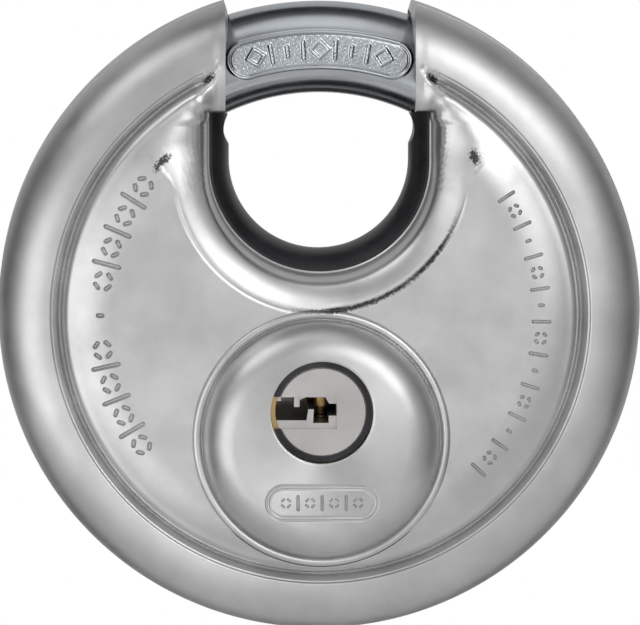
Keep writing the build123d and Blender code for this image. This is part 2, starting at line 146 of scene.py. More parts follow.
# Camera, in metres and degrees
CAMERA_AWAY = 0.9
VIEW_WIDTH = 0.07013
VIEW_RIGHT = 0.000175
VIEW_DOWN = 0.000712
VIEW_AZIMUTH = -1.5
VIEW_ELEVATION = 6.0
SENSOR_WIDTH = 36.0


# ---------------------------------------------------------------- height of the pressed case


def blend_step(edge0, edge1, value):
    t = np.clip((value - edge0) / (edge1 - edge0), 0.0, 1.0)
    return t * t * (3 - 2 * t)


def soft_min(a, b, k):
    h = np.clip(0.5 + 0.5 * (b - a) / k, 0.0, 1.0)
    return b * (1 - h) + a * h - k * h * (1 - h)


def rounded_table(radii, heights, sigma):
    """The profile with its corners rounded, as a finely sampled function of the radius."""
    pitch = 0.01
    grid = np.arange(radii[0] - 1, radii[-1] + 1, pitch)
    reach = int(4 * sigma / pitch)
    window = np.exp(-0.5 * (np.arange(-reach, reach + 1) * pitch / sigma) ** 2)
    padded = np.pad(np.interp(grid, radii, heights), reach, mode="edge")
    return grid, np.convolve(padded, window / window.sum(), mode="valid")


def case_table():
    radii = np.arange(0, 31.5, 0.01)
    heights = FACE - SHOULDER_DROP * np.clip((radii - FLAT_R) / (SHOULDER_R - FLAT_R), 0, 1) ** 2
    fall = np.clip((radii - SHOULDER_R) / (VALLEY_R - SHOULDER_R), 0, 1)
    heights -= (FACE - SHOULDER_DROP - VALLEY) * (1 - np.sqrt(1 - fall**2))
    step = (radii > VALLEY_R) & (radii < STEP_R)
    rise = (radii - VALLEY_R) / (STEP_R - VALLEY_R)
    heights[step] = (VALLEY + (CREST - VALLEY) * rise)[step]
    rim = radii >= STEP_R
    heights[rim] = rim_height(radii)[rim]
    grid, smooth = rounded_table(radii, heights, 0.09)
    for radius, depth, width in ((VALLEY_R, 0.45, 0.20), (STEP_R - 0.1, 0.12, 0.09)):
        smooth = smooth - depth * np.exp(-(((grid - radius) / width) ** 2))
    return grid, smooth


def rim_height(radius):
    """Rounded corner from the crest of the bead to the straight side of the case."""
    return CREST * np.clip(1 - np.clip((radius - CREST_R) / (DISC_R - CREST_R), 0, 1) ** 2, 0, 1) ** 0.25


def cuff_height(radius):
    """The bead beside each cut: its inner side is rounded too, over the shackle, in place of the groove."""
    inner = CREST * np.clip(1 - np.clip((CUFF_INNER_R - radius) / CUFF_ROUND, 0, 1) ** 4, 0, 1) ** 0.25
    return np.where(radius > CUFF_INNER_R, rim_height(radius), inner)


def boss_table():
    """Boss profile about its own axis: a flat top, a dome, and a rounded ring at its foot."""
    quarter = np.linspace(0, math.pi / 2, 30)
    dome = [(BOSS_FLAT_R + DOME_WIDTH * math.sin(a), 11.5 + 3.9 * math.cos(a)) for a in quarter]
    ring = [(13.52 + 0.5 * math.cos(a), 11.65 + 0.5 * math.sin(a)) for a in np.linspace(2.9, 0.1, 12)]
    points = [(5.0, BOSS_TOP)] + dome + ring + [(14.12, 7.0), (16.0, 4.0)]
    radii, heights = np.array(points).T
    return rounded_table(radii, heights, 0.05)


CASE_TABLE = case_table()
BOSS_TABLE = boss_table()


def lip_distance(x, z):
    """Distance outside the throat: a round bottom, straight sides, and the cuffs' ends at the top."""
    bottom = np.hypot(x, z - THROAT_UP) - THROAT_R
    side = np.abs(x) - THROAT_R
    corner = np.hypot(np.maximum(side, 0), z - CUFF_LOW)
    return np.where(z < THROAT_UP, bottom, np.where(z < CUFF_LOW, side, corner))


def lip_height(distance):
    """A tight roll at the edge, and then a gentle rise to the fold where it meets the face."""
    away = [0, 0.17, 0.20, 0.27, 0.42, 0.62, 0.85, 1.1, 1.4, 1.8, 2.3, 2.8, 3.3, 3.7, 6.0]
    rise = [0, 0.12, 2.2, 3.8, 4.9, 5.5, 5.9, 6.14, 6.34, 6.55, 6.77, 6.94, 7.05, 7.12, 8.4]
    return LIP_HALF + np.interp(distance, away, rise)


def segment_distance(x, z, start, end):
    """Distance from a straight line between two points, and how far along it the nearest place is."""
    ax, az = start
    bx, bz = end
    t = np.clip(((x - ax) * (bx - ax) + (z - az) * (bz - az)) / ((bx - ax) ** 2 + (bz - az) ** 2), 0, 1)
    return np.hypot(x - ax - t * (bx - ax), z - az - t * (bz - az)), t


def frame_distance(x, z):
    """Distance outside the outline of the engraved frame on the boss."""
    return segment_distance(x, z, (-FRAME_END, FRAME_UP), (FRAME_END, FRAME_UP))[0] - FRAME_RISE


def scar(x, z, start, end, width, depth):
    """Shallow gash between two points, to be taken off the height."""
    away, along = segment_distance(x, z, start, end)
    return depth * np.sin(math.pi * np.clip(along, 0.12, 0.88)) * np.exp(-((away / width) ** 2))


def height(x, z, with_boss):
    """Height of the case above the parting plane."""
    radius = np.hypot(x, z)
    case = np.where(radius > SPLIT_R + 0.6, rim_height(radius), np.interp(radius, *CASE_TABLE))
    distance = lip_distance(x, z)
    at_cut = blend_step(13.9, 11.2, np.abs(x)) * blend_step(19.0, 21.5, z)
    case = case + at_cut * (cuff_height(radius) - case)
    near_cuff = blend_step(13.0, 19.0, z)
    widened = distance - 0.5 * near_cuff * np.maximum(distance - 0.2, 0) + 0.2 * blend_step(20.6, 21.4, z)
    out = soft_min(case, lip_height(widened), 0.06 + 0.6 * near_cuff)
    # turned edge of each cut, and the dents where the groove and the lip's fold run out beside it
    out = out - 0.05 * blend_step(CUFF_X + 1.1, CUFF_X + 0.9, np.abs(x)) * blend_step(21.0, 24.0, z)
    for side in (-1, 1):
        out = out - scar(x, z, (side * 11.2, 26.8), (side * 13.0, 24.5), 0.35, 0.30)
        out = out + 0.25 * np.exp(-(np.hypot(x - side * 12.9, z - 23.2) ** 2))
    # crease where the lip folds up from the face, cut deeper and streaked at the lower right, where the
    # case's colour also has shade painted along it
    clock = np.arctan2(x, z - THROAT_UP)
    shade_zone = blend_step(1.9, 2.3, clock) * blend_step(3.3, 3.0, clock)
    streaks = 0.8 + 0.2 * np.sin(clock * 140 + 4 * np.sin(clock * 37))
    crease = blend_step(15.0, 10.0, z) * (0.07 + 0.22 * shade_zone * streaks)
    line = LIP_WIDTH - 0.35 * shade_zone
    out = out - crease * np.exp(-(((distance - line) / (0.16 + 0.06 * shade_zone)) ** 2))
    if with_boss:
        boss_r = np.hypot(x, z - BOSS_UP)
        boss = np.interp(boss_r, *BOSS_TABLE)
        out = np.maximum(out, boss)
        hole_edge = np.clip(1 - (np.hypot(x, z - PLUG_UP) - HOLE_R) / 0.24, 0, 1)
        out = out - 0.10 * hole_edge**2
        frame_line = frame_distance(x, z)
        for offset, depth in ((0.0, 0.17), (-0.36, 0.10)):
            out = out - depth * np.exp(-(((frame_line - offset) / 0.095) ** 2))
    return out


def normal_of(x, z, with_boss, step=0.01):
    """Outward normals of the front of the case."""
    dx = (height(x + step, z, with_boss) - height(x - step, z, with_boss)) / (2 * step)
    dz = (height(x, z + step, with_boss) - height(x, z - step, with_boss)) / (2 * step)
    n = np.stack([-dx, -np.ones_like(dx), -dz], axis=1)
    return n / np.linalg.norm(n, axis=1, keepdims=True)


# ---------------------------------------------------------------- engraved marks


def bar_shape(cx, cz, length, width, angle, corners=5):
    """Round-ended bar, as a convex outline."""
    half = length / 2 - width / 2
    points = []
    for side, start in ((1, -90), (-1, 90)):
        for i in range(corners + 1):
            a = math.radians(start + 180 * i / corners)
            points.append((side * half + width / 2 * math.cos(a), width / 2 * math.sin(a)))
    c, s = math.cos(angle), math.sin(angle)
    return np.array([(cx + c * px - s * pz, cz + s * px + c * pz) for px, pz in points])


def stroke(cx, cz, length, width, angle):
    """Cut with sloping walls: the outlines of its top and of its floor."""
    inset = 0.85 * width
    return bar_shape(cx, cz, length, width, angle), bar_shape(cx, cz, length - inset, width - inset, angle)


def lozenge(cx, cz, size, width, angle):
    """Diamond of four cuts that don't touch."""
    cuts = []
    for i in range(4):
        a = angle + math.pi / 4 + i * math.pi / 2
        reach = size * math.cos(math.pi / 4)
        length = size * math.sqrt(2) - 1.25 * width
        middle = (cx + reach * math.cos(a), cz + reach * math.sin(a))
        cuts.append(stroke(*middle, length, width, a + math.pi / 2))
    return cuts


def mark_row(kinds, radius, first, pitch, tall, width):
    """Lozenges, bars and dots along an arc: l, b and d; a space is left empty."""
    cuts = []
    for i, kind in enumerate(kinds):
        a = math.radians(first + pitch * i)
        cx, cz = radius * math.cos(a), radius * math.sin(a)
        if kind == "l":
            cuts += lozenge(cx, cz, 0.37 * tall, width, a)
        elif kind == "b":
            cuts.append(stroke(cx, cz, tall, width, a))
        elif kind == "d":
            cuts.append(stroke(cx, cz, width * 1.8, width, a))
    return cuts


def face_marks():
    """Generic engraved ornament down both sides of the face."""
    left = mark_row("lblblbl d lblblbl", 23.9, 143.5, 4.5, 3.3, 0.55)
    right = mark_row("blbdblbdblbdblbdblb", 23.9, 33, -4.3, 2.2, 0.42)
    return left + right


def boss_marks():
    """Row of generic bars and lozenges inside the engraved frame on the boss."""
    cuts = []
    for i, kind in enumerate("lblblbl"):
        cx = -3.9 + 1.3 * i
        if kind == "l":
            cuts += lozenge(cx, FRAME_UP, 0.64, 0.28, math.pi / 2)
        else:
            cuts.append(stroke(cx, FRAME_UP, 1.8, 0.38, math.pi / 2))
    return cuts


def inside_convex(x, z, outline):
    inside = np.ones_like(x, bool)
    for (ax, az), (bx, bz) in zip(outline, np.roll(outline, -1, axis=0)):
        inside &= (bx - ax) * (z - az) - (bz - az) * (x - ax) > 0
    return inside


# ---------------------------------------------------------------- plan of the case


def offset_outline(distance):
    """Curve at this distance outside the throat, from the right cuff round the bottom to the left one."""
    radius = THROAT_R + distance
    sides = np.linspace(CUFF_LOW, THROAT_UP, 14, endpoint=False)
    turn = np.linspace(0, -math.pi, 110)
    right = [(radius, z) for z in sides]
    bottom = [(radius * math.cos(a), THROAT_UP + radius * math.sin(a)) for a in turn]
    left = [(-radius, z) for z in sides[::-1]]
    return np.array(right + bottom + left)


def circle_points(radius, count, up=0.0, phase=0.0):
    a = phase + np.linspace(0, 2 * math.pi, count, endpoint=False)
    return np.stack([radius * np.cos(a), up + radius * np.sin(a)], axis=1)


def face_outline():
    """Closed outline of the triangulated face: the circle it is split at, the cuffs and the throat."""
    top = math.sqrt(SPLIT_R**2 - CUFF_X**2)
    first = math.atan2(top, CUFF_X)
    sweep = np.linspace(first, first - (2 * math.pi - 2 * (math.pi / 2 - first)), 330)
    rim = np.stack([SPLIT_R * np.cos(sweep), SPLIT_R * np.sin(sweep)], axis=1)
    left_cut = [(-CUFF_X, z) for z in np.linspace(top, CUFF_LOW, 24, endpoint=False)[1:]]
    left_jog = [(x, CUFF_LOW) for x in np.linspace(-CUFF_X, -THROAT_R, 6, endpoint=False)]
    throat = offset_outline(0.0)[::-1]
    right_jog = [(-x, z) for x, z in left_jog][::-1]
    right_cut = [(-x, z) for x, z in left_cut][::-1]
    return np.concatenate([rim, left_cut, left_jog, throat, right_jog, right_cut])


def in_cuff_zone(x, z):
    """The fine grid beside each cut; the groove keeps its own rings until close to the cut."""
    reach = np.where(np.hypot(x, z) > GROOVE_R, GRID_GROOVE_HALF, GRID_HALF)
    return (np.abs(x) < reach) & (z > GRID_LOW)


def places(points):
    """Radius, distance outside the throat, and whether each point is in the fine grid beside a cut."""
    x, z = points.T
    return np.hypot(x, z), lip_distance(x, z), in_cuff_zone(x, z)


def staggered_grid(half_x, low_z, high_z, pitch_x, pitch_z):
    """Rows of points, with every second row moved by half a step."""
    xs, zs = np.meshgrid(np.arange(-half_x, half_x, pitch_x), np.arange(low_z, high_z, pitch_z))
    shift = pitch_x / 2 * (np.round(zs.ravel() / pitch_z) % 2)
    return np.stack([xs.ravel() + shift, zs.ravel()], axis=1)


def groove_points():
    """Rings from the flat face out to the bead, closest together in the groove and its steep side."""
    spans = [(22.2, 27.6, 0.33), (27.62, 28.6, 0.05), (28.66, 29.0, 0.1), (29.02, 29.5, 0.035)]
    spans.append((29.56, 29.9, 0.1))
    radii = np.concatenate([np.arange(*span) for span in spans])
    half_step = math.pi / RING_POINTS
    rings = [circle_points(radius, RING_POINTS, phase=(i % 2) * half_step) for i, radius in enumerate(radii)]
    points = np.concatenate(rings)
    radius, away, beside_cut = places(points)
    return points[((away > 4.6) | (radius > GROOVE_R)) & ~beside_cut]


def lip_points():
    """Rows along the throat, closest together where the lip rolls and where it folds."""
    rows = [0.05, 0.11, 0.16, 0.18, 0.2, 0.24, 0.3, 0.4, 0.6, 0.85, 1.15, 1.5, 1.9, 2.35, 2.8, 3.2, 3.3]
    rows += [3.38 + 0.06 * i for i in range(19)]
    points = np.concatenate([offset_outline(distance) for distance in rows])
    radius, away, beside_cut = places(points)
    return points[(~beside_cut | (away < 0.5)) & (radius < 29.8)]


def cuff_points():
    """Fine grid beside each cut, clear of the throat's edge and of the cut's own edges."""
    points = staggered_grid(GRID_HALF, GRID_LOW, SPLIT_R, GRID_PITCH, GRID_PITCH)
    radius, away, beside_cut = places(points)
    x, z = points.T
    clear = (away > 0.55) | ((z > CUFF_LOW + 0.15) & (np.abs(x) > CUFF_X + 0.12))
    return points[clear & (radius < SPLIT_R - 0.12) & beside_cut]


def flat_points():
    """Coarse grid over the flat of the face."""
    points = staggered_grid(22, -22, 22, 1.3, 1.13)
    radius, away, beside_cut = places(points)
    return points[(radius < 22.0) & (away > 4.9) & ~beside_cut]


def boss_points():
    """Rings round the boss and the key hole, and rows along both sides of the engraved frame."""
    dome = [BOSS_DOME_R - DOME_WIDTH * (1 - math.sin(a)) for a in np.linspace(0.05, math.pi / 2, 18)]
    foot = [12.93, 12.97, 13.01, 13.06, 13.12, 13.2, 13.3, 13.42, 13.55, 13.68]
    foot += [13.8, 13.9, 13.97, 14.02, 14.05, 14.08, 14.12, 14.2, 14.35]
    rings = [circle_points(r, 180, BOSS_UP) for r in dome + foot]
    rings += [circle_points(r, 90, PLUG_UP) for r in (5.6, 5.65, 5.7, 5.76, 5.82, 5.95, 6.2, 6.8, 7.6)]
    points = np.concatenate(rings)
    x, z = points.T
    in_hole = np.hypot(x, z - PLUG_UP) < HOLE_R + 0.03
    in_frame = frame_distance(x, z) < 0.35
    points = points[~in_hole & ~in_frame]
    rows = []
    for offset in np.arange(-0.6, 0.31, 0.06):
        rise = FRAME_RISE + offset
        for side in (-1, 1):
            turn = np.linspace(-math.pi / 2, math.pi / 2, 22)
            rows += [(side * (FRAME_END + rise * math.cos(a)), FRAME_UP + rise * math.sin(a)) for a in turn]
            rows += [(x, FRAME_UP + side * rise) for x in np.linspace(-4.0, 4.0, 30)]
    return np.concatenate([points, np.array(rows)])


def plan_points(with_boss, marks):
    """Points that the face is triangulated on, closer together where it curves."""
    points = np.concatenate([groove_points(), lip_points(), cuff_points(), flat_points()])
    if with_boss:
        outside = np.hypot(points[:, 0], points[:, 1] - BOSS_UP) > BOSS_R
        points = np.concatenate([points[outside], boss_points()])
    for outline, _ in marks:
        centre = outline.mean(axis=0)
        grown = centre + (outline - centre) * 1.12
        points = points[~inside_convex(points[:, 0], points[:, 1], grown)]
    return points


def triangulate(with_boss, marks):
    """Plan triangulation of the face, with the throat, the key hole and the marks left open."""
    loops = [face_outline()]
    if with_boss:
        loops.append(circle_points(HOLE_R, HOLE_POINTS, PLUG_UP))
    loops += [outline for outline, _ in marks]
    vertices = []
    edges = []
    for loop in loops:
        start = len(vertices)
        vertices += [tuple(p) for p in loop]
        edges += [(start + i, start + (i + 1) % len(loop)) for i in range(len(loop))]
    vertices += [tuple(p) for p in plan_points(with_boss, marks)]
    result = delaunay_2d_cdt([Vector(v) for v in vertices], edges, [], 0, 1e-5, False)
    plan = np.array([tuple(v) for v in result[0]])
    faces = np.array([f for f in result[2] if len(f) == 3])
    cx, cz = plan[faces].mean(axis=1).T
    radius = np.hypot(cx, cz)
    keep = radius < SPLIT_R
    keep &= np.where(cz > CUFF_LOW, np.abs(cx) > CUFF_X, lip_distance(cx, cz) > 0)
    if with_boss:
        just_inside = 0.9995
        keep &= np.hypot(cx, cz - PLUG_UP) > HOLE_R * just_inside
    for outline, _ in marks:
        keep &= ~inside_convex(cx, cz, outline)
    return plan, faces[keep]


# ---------------------------------------------------------------- meshes


def to_row(x, y, z):
    """Plan coordinates in millimetres to the row's frame in metres."""
    return np.stack([x, y, z + DISC_UP], axis=-1) / 1000.0


def mesh_object(name, vertices, faces, normals=None, sharp_angle=None):
    mesh = bpy.data.meshes.new(name)
    mesh.from_pydata([tuple(v) for v in vertices], [], [tuple(int(i) for i in f) for f in faces])
    mesh.validate()
    for polygon in mesh.polygons:
        polygon.use_smooth = True
    if normals is not None:
        mesh.normals_split_custom_set_from_vertices([tuple(n) for n in normals])
    elif sharp_angle is not None:
        mesh.set_sharp_from_angle(angle=math.radians(sharp_angle))
    obj = bpy.data.objects.new(name, mesh)
    bpy.context.collection.objects.link(obj)
    return obj


class Builder:
    """Collects patches of vertices, normals and faces into one mesh."""

    def __init__(self):
        self.vertices = []
        self.normals = []
        self.faces = []
        self.count = 0

    def add(self, vertices, normals, faces):
        self.vertices.append(np.asarray(vertices, float))
        self.normals.append(np.asarray(normals, float))
        self.faces += [tuple(int(i) + self.count for i in f) for f in faces]
        self.count += len(vertices)

    def strip(self, a, b, closed=False):
        """Ribbon between two equal rows of points, flat across and with its own normals."""
        a = np.asarray(a, float)
        b = np.asarray(b, float)
        n = len(a)
        last = n if closed else n - 1
        along = np.roll(a, -1, axis=0) - np.roll(a, 1, axis=0)
        if not closed:
            along[0] = a[1] - a[0]
            along[-1] = a[-1] - a[-2]
        normals = np.cross(along, b - a)
        length = np.linalg.norm(normals, axis=1, keepdims=True)
        normals = normals / np.maximum(length, 1e-9)
        faces = [(i, (i + 1) % n, n + (i + 1) % n, n + i) for i in range(last)]
        self.add(np.concatenate([a, b]), np.concatenate([normals, normals]), faces)

    def done(self, name, mirror):
        vertices = np.concatenate(self.vertices)
        normals = np.concatenate(self.normals)
        faces = self.faces
        if mirror:
            vertices = vertices * np.array([1, -1, 1])
            normals = normals * np.array([1, -1, 1])
            faces = [f[::-1] for f in faces]
        return mesh_object(name, to_row(*vertices.T), faces, normals)


def rim_grid(with_boss, inset):
    """Regular grid over the rim outside the split circle; inset moves it inside the sheet."""
    turn = np.linspace(math.asin((SPLIT_R - CREST_R) / (DISC_R - CREST_R)), math.pi / 2, 46)
    across = np.linspace(0, 1, 420)
    radius = CREST_R + (DISC_R - CREST_R) * np.sin(turn)[:, None]
    first = np.arcsin(CUFF_X / radius)
    clock = first + (2 * math.pi - 2 * first) * across[None, :]
    x = radius * np.sin(clock)
    z = radius * np.cos(clock)
    y = -height(x, z, with_boss)
    y[-1] = 0.0
    grid = np.stack([x, y, z], axis=-1)
    d_row = np.gradient(grid, axis=0)
    d_across = np.gradient(grid, axis=1)
    d_row[-1] = np.array([0, 1.0, 0])
    normals = np.cross(d_across, d_row)
    normals /= np.linalg.norm(normals, axis=-1, keepdims=True)
    if normals[0, BOTTOM_COLUMN, 1] > 0:
        normals = -normals
    grid = grid - normals * inset
    return grid, normals


def grid_faces(rows, columns, flip):
    out = []
    for i in range(rows - 1):
        for j in range(columns - 1):
            corner = i * columns + j
            face = (corner, corner + 1, corner + columns + 1, corner + columns)
            out.append(face[::-1] if flip else face)
    return out


def on_skin(points, with_boss):
    """Plan points raised to the outer skin."""
    x, z = np.asarray(points).T
    return np.stack([x, -height(x, z, with_boss), z], axis=1)


def sheet_edge(points, with_boss):
    """Both sides of the sheet along a row of plan points."""
    x, z = np.asarray(points).T
    top = on_skin(points, with_boss)
    return top, top - normal_of(x, z, with_boss) * SHEET


def add_face(out, with_boss, marks):
    plan, faces = triangulate(with_boss, marks)
    outer = on_skin(plan, with_boss)
    normals = normal_of(*plan.T, with_boss)
    a, b, c = (outer[faces[:, i]] for i in range(3))
    wrong = np.cross(b - a, c - a)[:, 1] > 0
    faces[wrong] = faces[wrong][:, ::-1]
    out.add(outer, normals, faces)
    out.add(outer - normals * SHEET, -normals, faces[:, ::-1])


def add_rim(out, with_boss):
    """Both skins of the rim; their grids are returned for the sheet's edges at the cuts."""
    grid, normals = rim_grid(with_boss, 0.0)
    corner = grid[0, BOTTOM_COLUMN]
    flip = np.cross(grid[0, BOTTOM_COLUMN + 1] - corner, grid[1, BOTTOM_COLUMN] - corner)[1] > 0
    rows, columns = grid.shape[:2]
    out.add(grid.reshape(-1, 3), normals.reshape(-1, 3), grid_faces(rows, columns, flip))
    inside, _ = rim_grid(with_boss, SHEET)
    out.add(inside.reshape(-1, 3), -normals.reshape(-1, 3), grid_faces(rows, columns, not flip))
    return grid, inside


def add_cut_edges(out, with_boss, grid, inside):
    """Edge of the sheet along the cuts, the steps below them and the throat."""
    top = math.sqrt(SPLIT_R**2 - CUFF_X**2)
    for side in (-1, 1):
        cut = [(side * (CUFF_X + 0.001), z) for z in np.linspace(CUFF_LOW, top, 40)]
        out.strip(*(sheet_edge(cut, with_boss)[::side]))
        column = 0 if side == 1 else -1
        pair = (grid[:, column], inside[:, column])
        out.strip(*(pair[::side]))
        jog = [(side * x, CUFF_LOW + 0.001) for x in np.linspace(CUFF_X, THROAT_R, 10)]
        out.strip(*(sheet_edge(jog, with_boss)[::-side]))
    out.strip(*sheet_edge(offset_outline(0.002), with_boss))


def add_hole_edge(out):
    front = on_skin(circle_points(HOLE_R, HOLE_POINTS, PLUG_UP), True)
    out.strip(front, front + np.array([0, SHEET, 0]), closed=True)


def add_mark(out, outline, floor_plan, with_boss):
    """Sloping walls and floor of one engraved cut."""
    rim = on_skin(outline, with_boss)
    floor_edge = on_skin(floor_plan, with_boss)
    floor_edge[:, 1] += 1.8 * np.min(np.hypot(*(outline - floor_plan).T))
    out.strip(rim, floor_edge, closed=True)
    fan = np.concatenate([floor_edge, floor_edge.mean(axis=0, keepdims=True)])
    n = len(floor_edge)
    up = np.tile([0.0, -1.0, 0.0], (n + 1, 1))
    out.add(fan, up, [(i, (i + 1) % n, n) for i in range(n)])


def shell(name, with_boss):
    """One half of the case: outer and inner skins, the sheet's cut edges and the engraved marks."""
    marks = face_marks() + boss_marks() if with_boss else []
    out = Builder()
    add_face(out, with_boss, marks)
    grid, inside = add_rim(out, with_boss)
    add_cut_edges(out, with_boss, grid, inside)
    if with_boss:
        add_hole_edge(out)
    for outline, floor_plan in marks:
        add_mark(out, outline, floor_plan, with_boss)
    return out.done(name, mirror=not with_boss)


def bar_height(along, across):
    """Detail of the shackle's front: arc length along the bar and distance outwards from its centreline."""
    base = np.sqrt(np.clip(BAR_R**2 - across**2, 0, None))
    base = soft_min(base, np.full_like(base, BAR_R - BAR_FLAT), 0.25)
    return base + cartouche(along, across)


def cartouche(along, across):
    """Raised border, pebbled ground and generic raised bars on the front of the bar."""
    reach = CARTOUCHE_HALF - CARTOUCHE_RISE
    inside = CARTOUCHE_RISE - np.hypot(along - np.clip(along, -reach, reach), across)
    border = 0.16 * np.exp(-(((inside - 0.14) / 0.15) ** 2))
    line = -0.10 * np.exp(-(((inside - 0.42) / 0.10) ** 2))
    ground = np.clip((inside - 0.5) / 0.15, 0, 1)
    waves_along = np.sin(along * 21.3 + 2.1 * np.sin(across * 17.1))
    waves_across = np.sin(across * 19.7 + 1.7 * np.sin(along * 13.3))
    out = border + line + ground * (0.028 * (waves_along * waves_across) - 0.05)
    return out + 0.18 * raised_marks(along, across)


def raised_marks(along, across):
    """Row of nine marks: every fourth is a lozenge, and the rest are bars, long and short in turn."""
    marks = np.zeros_like(along + across)
    for i in range(9):
        middle = -7.0 + 1.75 * i
        if i % 4 == 0:
            inner = 0.30 - np.abs(0.95 - (np.abs(along - middle) + np.abs(across)))
        else:
            reach = (1.2 if i % 2 else 0.8) - 0.27
            inner = 0.27 - np.hypot(along - middle, across - np.clip(across, -reach, reach))
        marks = np.maximum(marks, np.clip(inner / 0.16, 0, 1))
    return marks


def bar_points(rho, y, clock):
    """Points of the bar at a clock angle; rho is their distance outwards from the bar's centreline."""
    return np.stack([(RING_R + rho) * np.sin(clock), y, (RING_R + rho) * np.cos(clock)], axis=-1)


def bar_end(rho, y, clock, sign):
    """Rings that close in towards one end of the bar; sign is 1 at the tip and -1 at the tail."""
    rings = []
    for i in range(6):
        a = math.pi / 2 * (i + 1) / 6
        scale = 1 - (BAR_END / BAR_R) * (1 - math.cos(a))
        shift = sign * (BAR_END / RING_R) * math.sin(a)
        rings.append(bar_points(rho * scale, y * scale, clock - shift + sign * BAR_END / RING_R))
    return rings


def shackle_bar():
    """Bar with a rounded tip, its front worked with the cartouche."""
    fine = np.linspace(-WORKED_CLOCK, WORKED_CLOCK, 300)
    to_tip = np.linspace(BAR_TIP, fine[0], 12, endpoint=False)
    to_tail = np.linspace(fine[-1], BAR_TAIL, 150)[1:]
    clocks = np.concatenate([to_tip, fine, to_tail])
    front = np.linspace(-WORKED_HALF, WORKED_HALF, 70)
    edge = math.asin(WORKED_HALF / BAR_R)
    arc = np.linspace(edge, 2 * math.pi - edge, 90)[1:-1]
    section = np.concatenate([front, BAR_R * np.sin(arc)])
    rho = np.broadcast_to(section, (len(clocks), len(section)))
    y_front = -bar_height(clocks[:, None] * RING_R, rho[:, : len(front)])
    y_arc = np.broadcast_to(-BAR_R * np.cos(arc), (len(clocks), len(arc)))
    y = np.concatenate([y_front, y_arc], axis=1)
    # the ends are rounded inside the bar's own length
    inside = np.clip(clocks, BAR_TIP + BAR_END / RING_R, BAR_TAIL - BAR_END / RING_R)[:, None]
    tip = bar_end(rho[0], y[0], clocks[0], 1)
    tail = bar_end(rho[-1], y[-1], clocks[-1], -1)
    rows = np.array(tip[::-1] + list(bar_points(rho, y, inside)) + tail)
    count, columns = rows.shape[:2]
    faces = []
    for i in range(count - 1):
        for j in range(columns):
            k = (j + 1) % columns
            faces.append((i * columns + j, (i + 1) * columns + j, (i + 1) * columns + k, i * columns + k))
    faces.append(tuple(range(columns)))
    faces.append(tuple((count - 1) * columns + j for j in range(columns))[::-1])
    return mesh_object("shackle_bar", to_row(*rows.reshape(-1, 3).T), faces, sharp_angle=50)


# ---------------------------------------------------------------- materials


def node_material(name):
    material = bpy.data.materials.new(name)
    material.use_nodes = True
    tree = material.node_tree
    return material, tree, tree.nodes["Principled BSDF"]


def coordinates(tree, scale):
    source = tree.nodes.new("ShaderNodeTexCoord")
    mapping = tree.nodes.new("ShaderNodeMapping")
    mapping.inputs["Scale"].default_value = scale
    tree.links.new(source.outputs["Object"], mapping.inputs["Vector"])
    return mapping.outputs["Vector"]


def noise(tree, vector, scale, detail=4.0, rough=0.6):
    node = tree.nodes.new("ShaderNodeTexNoise")
    node.inputs["Scale"].default_value = scale
    node.inputs["Detail"].default_value = detail
    node.inputs["Roughness"].default_value = rough
    tree.links.new(vector, node.inputs["Vector"])
    return node.outputs["Fac"]


def ramp(tree, value, low, high, color_low, color_high):
    node = tree.nodes.new("ShaderNodeValToRGB")
    node.color_ramp.elements[0].position = low
    node.color_ramp.elements[1].position = high
    node.color_ramp.elements[0].color = (*color_low, 1)
    node.color_ramp.elements[1].color = (*color_high, 1)
    tree.links.new(value, node.inputs["Fac"])
    return node.outputs["Color"]


def spread(tree, value, low, high, out_low, out_high):
    node = tree.nodes.new("ShaderNodeMapRange")
    node.inputs["From Min"].default_value = low
    node.inputs["From Max"].default_value = high
    node.inputs["To Min"].default_value = out_low
    node.inputs["To Max"].default_value = out_high
    tree.links.new(value, node.inputs["Value"])
    return node.outputs["Result"]


def bump(tree, value, strength, distance, normal=None):
    node = tree.nodes.new("ShaderNodeBump")
    node.inputs["Strength"].default_value = strength
    node.inputs["Distance"].default_value = distance
    tree.links.new(value, node.inputs["Height"])
    if normal is not None:
        tree.links.new(normal, node.inputs["Normal"])
    return node.outputs["Normal"]


def metal(name, dark, light, rough, grain=(1, 1, 1), grain_scale=900.0, grain_bump=0.08):
    """Bare or plated metal: cloudy tone, uneven polish between two values, and a fine grain."""
    material, tree, shader = node_material(name)
    plain = coordinates(tree, (1, 1, 1))
    stretched = coordinates(tree, grain)
    cloud = noise(tree, plain, 90.0, 5.0)
    tree.links.new(ramp(tree, cloud, 0.35, 0.65, dark, light), shader.inputs["Base Color"])
    polish = noise(tree, plain, 240.0, 6.0, 0.65)
    tree.links.new(spread(tree, polish, 0.3, 0.7, *rough), shader.inputs["Roughness"])
    fine = noise(tree, stretched, grain_scale, 6.0, 0.7)
    tree.links.new(bump(tree, fine, grain_bump, 0.00004), shader.inputs["Normal"])
    shader.inputs["Metallic"].default_value = 1.0
    return material


def subtract_point(tree, vector, point):
    node = tree.nodes.new("ShaderNodeVectorMath")
    node.operation = "SUBTRACT"
    node.inputs[1].default_value = point
    tree.links.new(vector, node.inputs[0])
    return node.outputs["Vector"]


def plan_radius(tree, vector):
    """Distance from the Y axis, and the vector itself flattened into the plan."""
    flat = tree.nodes.new("ShaderNodeVectorMath")
    flat.operation = "MULTIPLY"
    flat.inputs[1].default_value = (1, 0, 1)
    tree.links.new(vector, flat.inputs[0])
    length = tree.nodes.new("ShaderNodeVectorMath")
    length.operation = "LENGTH"
    tree.links.new(flat.outputs["Vector"], length.inputs[0])
    return length.outputs["Value"], flat.outputs["Vector"]


def connect(tree, value, socket):
    """Sets the socket to a number, or links it to another node's output."""
    if isinstance(value, (int, float)):
        socket.default_value = value
    else:
        tree.links.new(value, socket)


